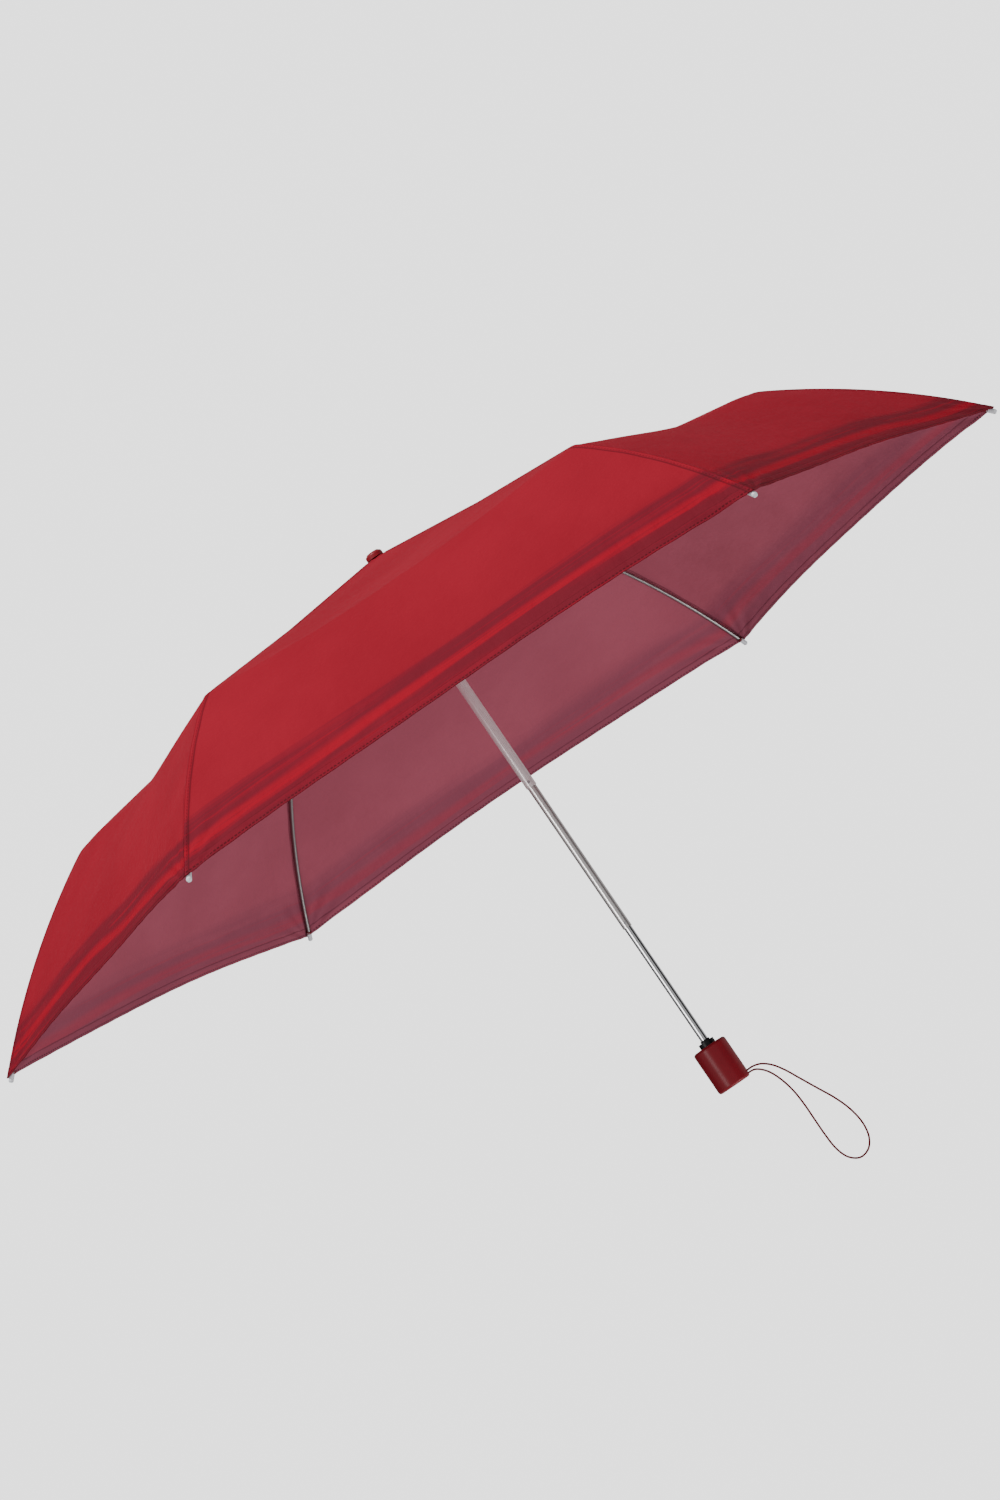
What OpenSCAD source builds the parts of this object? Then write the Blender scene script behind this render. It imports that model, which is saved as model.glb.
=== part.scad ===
// Open compact folding umbrella: six hinged three-part ribs, a runner with six stretchers,
// a three-section telescopic shaft and a short round handle with a wrist cord.
// Origin: centre of the hand grip. +Z runs along the shaft to the finial. Rib 0 points along +X.

/* [Canopy] */
// Radius of the circle through the six rib tips
canopy_r = 480; // [430:5:530]
// Height of the rib tips above the centre of the grip
tip_plane = 309; // [295:1:330]
// Thickness of the cloth
cloth_t = 0.4; // [0.3:0.05:0.6]
// How far the hem curves in towards the shaft at mid panel
scallop = 10; // [0:1:16]
// How far the cloth dips between the ribs near the elbows
valley = 8; // [0:1:12]

/* [Ribs] */
// Diameter of the rib rods
rib_d = 3.0; // [2.6:0.1:3.2]
// Diameter of the stretcher rods
strut_d = 2.5; // [2.4:0.1:3.0]
// Fall of the inner rib below level, in degrees
slope_a = 11.5; // [10.5:0.1:12.5]
// Fall of the middle rib below level, in degrees
slope_m = 10.1; // [9.5:0.1:11]
// Outward bow of the outer rib
bow = 7.5; // [4:0.5:9]
// Length of the silver tip caps
tip_l = 9; // [7:0.5:12]

/* [Shaft] */
// Outside diameter of the upper tube
upper_d = 9.2; // [9.2:0.1:10]
// Distance from the tip plane down to the end of the upper tube
upper_drop = 39; // [34:1:44]
// Distance from the tip plane down to the end of the middle tube
middle_drop = 176; // [165:1:180]

/* [Handle] */
// Diameter of the handle
handle_d = 29.4; // [26:0.2:32]
// Height of the handle
handle_h = 38; // [34:1:42]
// Rounding of the handle's edges
handle_edge = 2.4; // [1:0.2:4]

/* [Cord] */
// Diameter of the wrist cord
cord_d = 1.6; // [1.4:0.1:2]

/* [Hidden] */
$fn = 48;
f = canopy_r/480;
gap = 0.08;
wall = 0.62;
rib_r = rib_d/2;
lift = 3.2;             // cloth above the rib axes
e_m = 3.2;              // the middle rib lies beside the inner one
eye_r = 1.9;
wire_r = 0.6;
pin_r = 0.7;
notch_r = 13.5;         // rib pivots
run_r = 8.3;            // stretcher pivots
len_a = 166*f;
len_m = 154*f;
strut_at = 80*f;        // stretcher pivot along the inner rib
strut_in = notch_r-run_r;
strut_l = 100*f;
drop_o = 3.8;           // outer pivot below the middle rib
pivot_z = tip_plane+181*f;
// rib profile in its own plane: x out, y up
a_end = [notch_r+len_a*cos(slope_a), pivot_z-len_a*sin(slope_a)];
m_end = [a_end[0]+len_m*cos(slope_m), a_end[1]-len_m*sin(slope_m)];
o_piv = [m_end[0]-drop_o*sin(slope_m), m_end[1]-drop_o*cos(slope_m)];
to_tip = [canopy_r-o_piv[0], o_piv[1]-tip_plane];
to_tip_l = norm(to_tip);
len_o = sqrt(to_tip_l*to_tip_l-drop_o*drop_o);
slope_o = atan2(to_tip[1], to_tip[0])+asin(drop_o/to_tip_l);
bow_r = (len_o*len_o/4+bow*bow)/(2*bow);
bow_a = asin(len_o/2/bow_r);
bow_z = drop_o+bow-bow_r;
p1 = [notch_r+strut_at*cos(slope_a)-strut_in*sin(slope_a), pivot_z-strut_at*sin(slope_a)-strut_in*cos(slope_a)];
run_dr = p1[0]-run_r;
run_z = p1[1]-sqrt(strut_l*strut_l-run_dr*run_dr);
slope_s = atan2(p1[1]-run_z, run_dr);
upper_r = upper_d/2;
middle_r = upper_r-wall-gap;
lower_r = middle_r-wall-gap;
upper_end = tip_plane-upper_drop;
middle_end = tip_plane-middle_drop;
handle_top = handle_h/2;
collar_top = handle_top+5.6;

// ---------- helpers ----------
// a cylinder across the rib plane, from y0 to y1
module across(r, y0, y1) translate([0, y1, 0]) rotate([90, 0, 0]) cylinder(r=r, h=y1-y0);
module along(r, x0, x1) translate([x0, 0, 0]) rotate([0, 90, 0]) cylinder(r=r, h=x1-x0);
module block(x0, x1, y0, y1, z0, z1) translate([x0, y0, z0]) cube([x1-x0, y1-y0, z1-z0]);
module place_a(k) rotate([0, 0, 60*k]) translate([notch_r, 0, pivot_z]) rotate([0, slope_a, 0]) children();
module place_m(k) rotate([0, 0, 60*k]) translate([a_end[0], 0, a_end[1]]) rotate([0, slope_m, 0]) children();
module place_o(k) rotate([0, 0, 60*k]) translate([o_piv[0], 0, o_piv[1]]) rotate([0, slope_o, 0]) children();
module place_s(k) rotate([0, 0, 60*k]) translate([p1[0], 0, p1[1]]) rotate([0, 180-slope_s, 0]) children();
module tube(ro, z0, z1) translate([0, 0, z0]) difference() {
    cylinder(r=ro, h=z1-z0);
    translate([0, 0, -1]) cylinder(r=ro-wall, h=z1-z0+2);
}
module hex_wire(ap, z) translate([0, 0, z]) for (k=[0:5]) rotate([0, 0, 60*k]) {
    translate([ap, 0, 0]) across(wire_r, -ap*tan(30), ap*tan(30));
    rotate([0, 0, 30]) translate([ap/cos(30), 0, 0]) sphere(r=1.2*wire_r);
}

// ---------- handle body ----------
module handle_shell() color([0.62, 0.07, 0.10]) difference() {
    rotate_extrude() translate([0, -handle_h/2]) union() {
        square([handle_d/2-handle_edge, handle_h]);
        translate([0, handle_edge]) square([handle_d/2, handle_h-2*handle_edge]);
        translate([handle_d/2-handle_edge, handle_edge]) circle(r=handle_edge);
        translate([handle_d/2-handle_edge, handle_h-handle_edge]) circle(r=handle_edge);
    }
    translate([0, 0, -handle_h/2+8]) cylinder(r=lower_r, h=handle_h);
    translate([0, 0, handle_h/2-1.5]) cylinder(r=7.2, h=3);
    // side hole for the cord and its plug
    translate([0, 0, -handle_h/2+3.5]) along(2.2, 3, handle_d);
    // cross hole for the pin that holds the tube
    translate([0, 0, 4]) along(0.8, 0, handle_d);
}
module collar() color([0.05, 0.05, 0.055]) difference() {
    union() {
        translate([0, 0, handle_top-1.5]) cylinder(r=6.8, h=5.5);
        translate([0, 0, handle_top+4]) cylinder(r=4.1, h=1.6);
    }
    translate([0, 0, handle_top-3]) cylinder(r=lower_r, h=12);
}
module handle_pin() color([0.75, 0.75, 0.77]) translate([0, 0, 4]) along(0.8, lower_r-0.6, handle_d/2);
module cord_plug() color([0.35, 0.03, 0.05]) translate([0, 0, -handle_h/2+3.5]) difference() {
    along(2.2, 5, handle_d/2-0.6);
    translate([0, 0, 0]) block(handle_d/2-6.5, handle_d/2+1, -1.3, 1.3, -2.05, 2.05);
}
// hand-chosen route of the cord: out of the side hole, down, round the loop and back
cx = handle_d/2;
cz = -handle_h/2+3.5;
cord_route = [[cx-5, 0, cz+1.1], [cx-1, 0, cz+1.1], [cx+5, 0, cz+1.2], [cx+12, 0, cz-1], [cx+19, 0, cz-7],
    [cx+25, 0, cz-16], [cx+31, 0, cz-28], [cx+38, 0, cz-42], [cx+45, 0, cz-56], [cx+50, 0, cz-70],
    [cx+52, 0, cz-84], [cx+50, 0, cz-96], [cx+44, 0, cz-104], [cx+35, 0, cz-106], [cx+27, 0, cz-100],
    [cx+23, 0, cz-89], [cx+22, 0, cz-75], [cx+22, 0, cz-60], [cx+22, 0, cz-46], [cx+21, 0, cz-33],
    [cx+18, 0, cz-20], [cx+13, 0, cz-9], [cx+6, 0, cz-2.2], [cx-1, 0, cz-1.1], [cx-5, 0, cz-1.1]];
function cr(p, q, r, s, t) = 0.5*((2*q)+(r-p)*t+(2*p-5*q+4*r-s)*t*t+(3*q-p-3*r+s)*t*t*t);
nr = len(cord_route);
cord_path = [for (i=[0:nr-2]) for (j=[0:2])
    cr(cord_route[max(i-1, 0)], cord_route[i], cord_route[i+1], cord_route[min(i+2, nr-1)], j/3),
    cord_route[nr-1]];
module wrist_cord() color([0.48, 0.04, 0.07]) {
    n = len(cord_path);
    s = 8;
    ty = [0, 1, 0];
    pts = [for (i=[0:n-1])
        let (d = cord_path[min(i+1, n-1)]-cord_path[max(i-1, 0)], u = d/norm(d), w = cross(u, ty))
        for (j=[0:s-1]) cord_path[i]+cord_d/2*(cos(360*j/s)*ty+sin(360*j/s)*w)];
    polyhedron(pts, concat(
        [[for (j=[0:s-1]) j]], [[for (j=[0:s-1]) (n-1)*s+s-1-j]],
        [for (i=[0:n-2]) for (j=[0:s-1]) [i*s+j, (i+1)*s+j, (i+1)*s+(j+1)%s, i*s+(j+1)%s]]), convexity=6);
}
module lower_tube() color([0.80, 0.80, 0.82]) difference() {
    tube(lower_r, -handle_h/2+8, middle_end+22);
    translate([0, 0, 4]) along(0.8, 0, 10);
}

// ---------- telescopic sections ----------
module middle_tube() color([0.72, 0.71, 0.70]) difference() {
    tube(middle_r, middle_end, upper_end+24);
    translate([0, 0, middle_end+4]) rotate([0, 0, -90]) along(1.0, 0, 10);
}
module middle_detent() color([0.12, 0.12, 0.12]) translate([0, 0, middle_end+4]) rotate([0, 0, -90])
    along(1.0, lower_r+gap, middle_r+0.5);
module upper_tube() color([0.82, 0.82, 0.84]) difference() {
    tube(upper_r, upper_end, pivot_z+0.4);
    translate([0, 0, upper_end+4]) rotate([0, 0, -90]) along(1.2, 0, 10);
}
module upper_detent() color([0.12, 0.12, 0.12]) translate([0, 0, upper_end+4]) rotate([0, 0, -90])
    along(1.2, middle_r+gap, upper_r+0.7);
module top_notch() color([0.10, 0.10, 0.11]) translate([0, 0, pivot_z]) difference() {
    union() {
        translate([0, 0, -3.4]) cylinder(r=15.2, h=4.7);
        translate([0, 0, -14]) cylinder(r=6.6, h=11);
        translate([0, 0, 1]) cylinder(r=3.4, h=3.4);
    }
    translate([0, 0, -15]) cylinder(r=upper_r, h=15.4);
    translate([0, 0, -1]) cylinder(r=1.6, h=8);
    for (k=[0:5]) rotate([0, 0, 60*k]) block(10.9, 17, -1.7, 1.7, -5, 4);
    // groove that holds the wire
    difference() {
        translate([0, 0, -wire_r-0.02]) cylinder(r=17, h=2*wire_r+0.04);
        translate([0, 0, -2]) cylinder(r=(notch_r-wire_r-0.02)/cos(30), h=4, $fn=6);
    }
}
module notch_wire() color([0.60, 0.60, 0.62]) rotate([0, 0, 0]) hex_wire(notch_r, pivot_z);
module finial() color([0.60, 0.06, 0.09]) translate([0, 0, pivot_z]) {
    translate([0, 0, 0.6]) cylinder(r=1.6, h=6);
    rotate_extrude() union() {
        translate([0, 5.4]) square([7.5, 2.6]);
        translate([0, 7.5]) square([5.5, 3.1]);
        intersection() {
            translate([5.5, 8.0]) circle(r=2.0);
            translate([5.0, 5.4]) square([3, 5.2]);
        }
        translate([0, 8.0]) square([5.5, 2.0]);
    }
}

// ---------- runner ----------
module runner() color([0.12, 0.12, 0.13]) translate([0, 0, run_z]) difference() {
    union() {
        translate([0, 0, -3.2]) cylinder(r=12.4, h=5.4);
        translate([0, 0, -22]) cylinder(r=6.1, h=20);
        translate([0, 0, -22]) cylinder(r=7.2, h=4);
    }
    translate([0, 0, -23]) cylinder(r=upper_r+gap, h=30);
    for (k=[0:5]) rotate([0, 0, 60*k]) block(6.15, 14, -1.7, 1.7, -3.4, 4);
    difference() {
        translate([0, 0, -wire_r-0.02]) cylinder(r=14, h=2*wire_r+0.04);
        translate([0, 0, -2]) cylinder(r=(run_r-wire_r-0.02)/cos(30), h=4, $fn=6);
    }
}
module runner_wire() color([0.60, 0.60, 0.62]) hex_wire(run_r, run_z);

// ---------- one rib ----------
module inner_rib(k) color([0.78, 0.78, 0.80]) place_a(k) difference() {
    union() {
        along(rib_r, 0, len_a);
        across(eye_r, -1.4, 1.4);
        translate([len_a, 0, 0]) across(eye_r, -1.5, 1.5);
        block(strut_at-eye_r, strut_at+eye_r, -1.5, -0.15, -strut_in, 0);
        translate([strut_at, 0, -strut_in]) across(eye_r, -1.5, -0.15);
    }
    across(wire_r+0.05, -3, 3);
    translate([len_a, 0, 0]) across(pin_r, -3, 3);
    translate([strut_at, 0, -strut_in]) across(pin_r, -3, 3);
}
module inner_pins(k) color([0.55, 0.55, 0.57]) place_a(k) {
    translate([strut_at, 0, -strut_in]) {
        across(pin_r, -2.0, 2.0);
        across(1.3, -2.0, -1.5);
        across(1.3, 1.56, 2.0);
    }
    translate([len_a, 0, 0]) {
        across(pin_r, -2.0, 5.2);
        across(1.3, -2.0, -1.5);
        across(1.3, 4.76, 5.2);
    }
}
module stretcher(k) color([0.76, 0.76, 0.78]) place_s(k) difference() {
    union() {
        along(strut_d/2, 3.6, strut_l);
        block(0, 5, 0, 1.3, -1.3, 1.3);
        across(eye_r, 0, 1.5);
        translate([strut_l, 0, 0]) across(eye_r, -1.4, 1.4);
    }
    across(pin_r+0.05, -3, 3);
    translate([strut_l, 0, 0]) across(wire_r+0.25, -3, 3);
}
module middle_rib(k) color([0.78, 0.78, 0.80]) place_m(k) difference() {
    union() {
        translate([0, e_m, 0]) along(rib_r, 0, len_m);
        across(eye_r, e_m-1.5, e_m+1.5);
        block(len_m-4, len_m+1.4, e_m-1.2, e_m+1.2, -drop_o, 0);
        translate([len_m, 0, -drop_o]) across(eye_r, e_m-1.5, e_m+1.5);
    }
    across(pin_r+0.05, 0, 8);
    translate([len_m, 0, -drop_o]) across(pin_r, 0, 8);
}
module outer_pin(k) color([0.55, 0.55, 0.57]) place_m(k) translate([len_m, 0, -drop_o]) {
    across(pin_r, -2.0, 5.2);
    across(1.3, -2.0, -1.56);
    across(1.3, e_m+1.5, 5.2);
}
module outer_rib(k) color([0.80, 0.80, 0.82]) place_o(k) difference() {
    union() {
        across(eye_r, -1.5, 1.5);
        block(-1.2, 4, -1.2, 1.2, 0, drop_o+0.4);
        translate([len_o/2, 0, bow_z]) rotate([90, 0, 0]) rotate([0, 0, 90-bow_a+0.12])
            rotate_extrude(angle=2*bow_a-0.12) translate([bow_r, 0]) circle(r=rib_r);
    }
    across(pin_r+0.05, -3, 3);
}
module tip_cap(k) color([0.85, 0.85, 0.87]) place_o(k)
    translate([len_o/2, 0, bow_z]) rotate([90, 0, 0]) rotate([0, 0, 90-bow_a]) translate([bow_r, 0, 0]) rotate([90, 0, 0])
    difference() {
        union() {
            translate([0, 0, -tip_l]) cylinder(r=rib_r+0.6, h=tip_l-1);
            translate([0, 0, -1]) cylinder(r1=rib_r+0.6, r2=rib_r-0.2, h=1);
        }
        translate([0, 0, -tip_l-1]) cylinder(r=rib_r+0.02, h=tip_l-0.8);
    }

// ---------- cloth ----------
// points of the cloth over a rib: [x, z, dip at mid panel, share of the hem's curve, normal x, normal z]
function on_line(p, sl, l) = [p[0]+l*cos(sl), p[1]-l*sin(sl), sin(sl), cos(sl)];
function on_bow(u) = let (a = 90+bow_a-2*bow_a*u, x = len_o/2+bow_r*cos(a), z = bow_z+bow_r*sin(a),
    n = [cos(a), sin(a)])
    [o_piv[0]+x*cos(slope_o)+z*sin(slope_o), o_piv[1]-x*sin(slope_o)+z*cos(slope_o),
     n[0]*cos(slope_o)+n[1]*sin(slope_o), -n[0]*sin(slope_o)+n[1]*cos(slope_o)];
stations = concat(
    [for (l=[-9, 8, 45, 85, 125]) concat(on_line([notch_r, pivot_z], slope_a, l*(l > 8 ? f : 1)), [valley*max(0, l)/300, 0])],
    [for (l=[0, 45, 90, 130, 152.5]) concat(on_line(a_end, slope_m, l*f), [valley*(0.55+0.45*l/152.5), 0])],
    [for (u=[0.02, 0.14, 0.30, 0.46, 0.62, 0.78, 0.90, 0.985]) concat(on_bow(u), [valley*(1-u), pow(u, 1.6)])]);
nv = 8;
// lateral position v runs -1..1 across a panel whose middle is at angle am
function cloth(i, v, am, h) = let (q = stations[i], x = q[0]+q[2]*(lift+h), z = q[1]+q[3]*(lift+h), m = 1-v*v, d = m*m*q[4],
    rad = x*cos(30)-m*scallop*q[5]-d*q[2], tan_ = x*sin(30)*v, up = z-d*q[3]+0.6*m*scallop*q[5])
    [rad*cos(am)-tan_*sin(am), rad*sin(am)+tan_*cos(am), up];
module canopy() color([0.66, 0.12, 0.16]) {
    ns = len(stations);
    nc = 6*nv;
    pts = [for (h=[cloth_t/2, -cloth_t/2]) for (i=[0:ns-1]) for (p=[0:5]) for (j=[0:nv-1])
        cloth(i, -1+2*j/nv, 30+60*p, h)];
    o = ns*nc;
    polyhedron(pts, concat(
        [for (i=[0:ns-2]) for (c=[0:nc-1]) [i*nc+c, i*nc+(c+1)%nc, (i+1)*nc+(c+1)%nc]],
        [for (i=[0:ns-2]) for (c=[0:nc-1]) [i*nc+c, (i+1)*nc+(c+1)%nc, (i+1)*nc+c]],
        [for (i=[0:ns-2]) for (c=[0:nc-1]) [o+i*nc+c, o+(i+1)*nc+(c+1)%nc, o+i*nc+(c+1)%nc]],
        [for (i=[0:ns-2]) for (c=[0:nc-1]) [o+i*nc+c, o+(i+1)*nc+c, o+(i+1)*nc+(c+1)%nc]],
        [for (c=[0:nc-1]) [c, o+c, o+(c+1)%nc]], [for (c=[0:nc-1]) [c, o+(c+1)%nc, (c+1)%nc]],
        [for (c=[0:nc-1]) let (i=(ns-1)*nc) [i+c, i+(c+1)%nc, o+i+(c+1)%nc]],
        [for (c=[0:nc-1]) let (i=(ns-1)*nc) [i+c, o+i+(c+1)%nc, o+i+c]]), convexity=8);
}

handle_shell();
collar();
handle_pin();
cord_plug();
wrist_cord();
lower_tube();
middle_tube();
middle_detent();
upper_tube();
upper_detent();
top_notch();
notch_wire();
finial();
canopy();
runner();
runner_wire();
inner_rib(0);  // inner_rib_0
inner_rib(1);  // inner_rib_1
inner_rib(2);  // inner_rib_2
inner_rib(3);  // inner_rib_3
inner_rib(4);  // inner_rib_4
inner_rib(5);  // inner_rib_5
inner_pins(0);  // inner_pins_0
inner_pins(1);  // inner_pins_1
inner_pins(2);  // inner_pins_2
inner_pins(3);  // inner_pins_3
inner_pins(4);  // inner_pins_4
inner_pins(5);  // inner_pins_5
stretcher(0);  // stretcher_0
stretcher(1);  // stretcher_1
stretcher(2);  // stretcher_2
stretcher(3);  // stretcher_3
stretcher(4);  // stretcher_4
stretcher(5);  // stretcher_5
middle_rib(0);  // middle_rib_0
middle_rib(1);  // middle_rib_1
middle_rib(2);  // middle_rib_2
middle_rib(3);  // middle_rib_3
middle_rib(4);  // middle_rib_4
middle_rib(5);  // middle_rib_5
outer_pin(0);  // outer_pin_0
outer_pin(1);  // outer_pin_1
outer_pin(2);  // outer_pin_2
outer_pin(3);  // outer_pin_3
outer_pin(4);  // outer_pin_4
outer_pin(5);  // outer_pin_5
outer_rib(0);  // outer_rib_0
outer_rib(1);  // outer_rib_1
outer_rib(2);  // outer_rib_2
outer_rib(3);  // outer_rib_3
outer_rib(4);  // outer_rib_4
outer_rib(5);  // outer_rib_5
tip_cap(0);  // tip_cap_0
tip_cap(1);  // tip_cap_1
tip_cap(2);  // tip_cap_2
tip_cap(3);  // tip_cap_3
tip_cap(4);  // tip_cap_4
tip_cap(5);  // tip_cap_5
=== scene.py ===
# %% [markdown]
# # A compact folding umbrella
# The metal frame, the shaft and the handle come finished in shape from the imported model. Here they get their
# finishes, and the soft things are made: the cloth, the cord and the thread ties. Everything is in metres, and
# the shaft stands along Z with the middle of the grip at the origin.

# %% Load the frame
import bpy, bmesh, math
import numpy as np
from mathutils import Matrix, Vector


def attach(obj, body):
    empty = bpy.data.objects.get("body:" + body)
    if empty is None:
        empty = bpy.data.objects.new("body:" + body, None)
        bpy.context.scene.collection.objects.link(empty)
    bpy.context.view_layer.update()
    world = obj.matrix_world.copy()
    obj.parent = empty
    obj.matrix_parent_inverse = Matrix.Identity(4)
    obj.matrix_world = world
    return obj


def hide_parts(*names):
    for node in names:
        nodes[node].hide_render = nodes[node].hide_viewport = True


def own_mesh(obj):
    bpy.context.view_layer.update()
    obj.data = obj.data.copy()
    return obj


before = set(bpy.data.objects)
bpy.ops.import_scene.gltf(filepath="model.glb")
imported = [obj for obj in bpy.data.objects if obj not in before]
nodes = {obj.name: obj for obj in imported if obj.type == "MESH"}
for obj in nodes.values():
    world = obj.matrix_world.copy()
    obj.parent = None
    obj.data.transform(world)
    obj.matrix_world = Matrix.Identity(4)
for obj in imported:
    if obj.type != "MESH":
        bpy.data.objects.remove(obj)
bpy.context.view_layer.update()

# %% [markdown]
# ## Sizes that the cloth shares with the frame
# The cloth follows the ribs, so it needs the same few lengths and angles as they do. They are written once
# here, and everything soft is worked out from them.

# %% Shared sizes
MM = 0.001
TIP_R, TIP_Z = 480 * MM, 309 * MM            # circle and height of the rib tips
PIVOT_R, PIVOT_Z = 13.5 * MM, 490 * MM       # where the inner ribs turn
SLOPE_IN, SLOPE_MID = math.radians(11.5), math.radians(10.1)
LEN_IN, LEN_MID, DROP = 166 * MM, 154 * MM, 3.8 * MM
LIFT, BOW, SCALLOP, VALLEY = 3.2 * MM, 7.5 * MM, 10 * MM, 8 * MM

knee = (PIVOT_R + LEN_IN * math.cos(SLOPE_IN), PIVOT_Z - LEN_IN * math.sin(SLOPE_IN))
elbow = (knee[0] + LEN_MID * math.cos(SLOPE_MID), knee[1] - LEN_MID * math.sin(SLOPE_MID))
outer_pin = (elbow[0] - DROP * math.sin(SLOPE_MID), elbow[1] - DROP * math.cos(SLOPE_MID))
reach = (TIP_R - outer_pin[0], outer_pin[1] - TIP_Z)
LEN_OUT = math.sqrt(reach[0] ** 2 + reach[1] ** 2 - DROP ** 2)
SLOPE_OUT = math.atan2(reach[1], reach[0]) + math.asin(DROP / math.hypot(*reach))
BOW_R = (LEN_OUT ** 2 / 4 + BOW ** 2) / (2 * BOW)
BOW_A = math.asin(LEN_OUT / 2 / BOW_R)
BOW_Z = DROP + BOW - BOW_R


def turned(x, z, slope):
    """A point of the outer rib's own plane, set in the rib plane."""
    return (outer_pin[0] + x * math.cos(slope) + z * math.sin(slope),
            outer_pin[1] - x * math.sin(slope) + z * math.cos(slope))


def outer_rib_point(u, lift=0.0):
    """The bowed outer rib's middle line, u from 0 at the elbow to 1 at the tip."""
    a = math.pi / 2 + BOW_A - 2 * BOW_A * u
    r = BOW_R + lift
    return turned(LEN_OUT / 2 + r * math.cos(a), BOW_Z + r * math.sin(a), SLOPE_OUT)


print("knee", knee, "elbow", elbow, "outer rib", LEN_OUT, math.degrees(SLOPE_OUT))

# %% [markdown]
# ## The camera
# A camera is only a place, a direction and a lens. This one looks slightly up under the rim and is rolled by
# about a third of a right angle, so the shaft leans back to the upper left. Its axes are worked out as three
# vectors and handed over as one matrix, which is easier to trust than three angles.

# %% Camera
CAM_AZ, CAM_EL, CAM_ROLL, CAM_DIST = (math.radians(-0.6), math.radians(-6.4), math.radians(34.3), 3.10)
aim = Vector((-0.005, -0.053, 0.303))
away = Vector((math.cos(CAM_EL) * math.sin(CAM_AZ), -math.cos(CAM_EL) * math.cos(CAM_AZ), math.sin(CAM_EL)))
level_right = (-away).cross(Vector((0, 0, 1))).normalized()
level_up = level_right.cross(-away)
cam_right = math.cos(CAM_ROLL) * level_right - math.sin(CAM_ROLL) * level_up
cam_up = math.sin(CAM_ROLL) * level_right + math.cos(CAM_ROLL) * level_up
camera_data = bpy.data.cameras.new("camera")
camera_data.lens, camera_data.sensor_width = 94.0, 36.0
camera = bpy.data.objects.new("camera", camera_data)
bpy.context.scene.collection.objects.link(camera)
place = Matrix((cam_right, cam_up, away)).transposed().to_4x4()
place.translation = aim + CAM_DIST * away
camera.matrix_world = place
bpy.context.scene.camera = camera
print("camera at", tuple(round(c, 3) for c in place.translation))

# %% [markdown]
# ## Helpers for shader maths
# A material is a graph of nodes. Written out by hand it gets long, so one small class wraps a socket and lets
# ordinary signs such as + and * add the Math nodes. A second one holds the tree and adds any other node.

# %% Shader helpers


class Socket:
    """A node's output, with which Python's own signs can do sums."""

    def __init__(self, tree, out):
        self.tree, self.out = tree, out

    def maths(self, operation, *others):
        return self.tree.node("ShaderNodeMath", {"operation": operation}, dict(enumerate((self, *others))))

    def __add__(self, o): return self.maths("ADD", o)
    def __sub__(self, o): return self.maths("SUBTRACT", o)
    def __mul__(self, o): return self.maths("MULTIPLY", o)
    def __rsub__(self, o): return self.tree.node("ShaderNodeMath", {"operation": "SUBTRACT"}, {0: o, 1: self})
    __radd__, __rmul__ = __add__, __mul__

    def step(self, low, high):
        """0 below low, 1 above high, and smooth between them."""
        return self.tree.node("ShaderNodeMapRange", {"interpolation_type": "SMOOTHSTEP"},
                              {"Value": self, "From Min": low, "From Max": high})

    def sine(self): return self.maths("SINE")
    def size(self): return self.maths("ABSOLUTE")
    def fraction(self): return self.maths("FRACT")
    def most(self, o): return self.maths("MAXIMUM", o)


class Finish:
    """A material with one Principled shader, and a way to add nodes to it."""

    def __init__(self, name):
        self.material = bpy.data.materials.new(name)
        self.material.use_nodes = True
        self.nodes, self.links = self.material.node_tree.nodes, self.material.node_tree.links
        self.shader = self.nodes["Principled BSDF"]

    def node(self, kind, settings=None, inputs=None, out=0):
        n = self.nodes.new(kind)
        for key, value in (settings or {}).items():
            setattr(n, key, value)
        for key, value in (inputs or {}).items():
            self.put(n.inputs[key], value)
        return Socket(self, n.outputs[out])

    def put(self, socket, value):
        if isinstance(value, Socket):
            self.links.new(value.out, socket)
        elif isinstance(value, (tuple, list)) and socket.type == "RGBA" and len(value) == 3:
            socket.default_value = (*value, 1)
        else:
            socket.default_value = value

    def set(self, **values):
        for key, value in values.items():
            self.put(self.shader.inputs[key.replace("_", " ")], value)

    def object_place(self):
        return self.node("ShaderNodeTexCoord", out="Object")

    def parts(self, vector):
        n = self.nodes.new("ShaderNodeSeparateXYZ")
        self.links.new(vector.out, n.inputs[0])
        return [Socket(self, o) for o in n.outputs]

    def noise(self, where, scale, detail=3.0, roughness=0.5):
        return self.node("ShaderNodeTexNoise", {}, {"Vector": where, "Scale": scale, "Detail": detail,
                                                    "Roughness": roughness})

    def stretched(self, where, scale):
        return self.node("ShaderNodeMapping", {}, {"Vector": where, "Scale": scale})

    def mix(self, share, a, b):
        n = self.nodes.new("ShaderNodeMix")
        n.data_type = "RGBA"
        for socket, value in ((n.inputs["Factor"], share), (n.inputs[6], a), (n.inputs[7], b)):
            self.put(socket, value)
        return Socket(self, n.outputs[2])

    def bump(self, height, distance, strength=1.0):
        self.put(self.shader.inputs["Normal"],
                 self.node("ShaderNodeBump", {}, {"Height": height, "Distance": distance, "Strength": strength}))


def srgb(r, g, b):
    """A colour as a paint chart gives it, 0 to 255, as the linear light that a shader wants."""
    return tuple((c / 255 / 12.92) if c / 255 <= 0.04045 else ((c / 255 + 0.055) / 1.055) ** 2.4 for c in (r, g, b))


# %% [markdown]
# ## The wrist cord
# A braided cord goes into a hole in the side of the handle, makes a loop for the wrist and comes back into the
# same hole. A cord is one thickness along one smooth line, so a ring of points is carried along the route. Each
# ring also writes how far along the cord it is, which is what the braid pattern needs.

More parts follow.
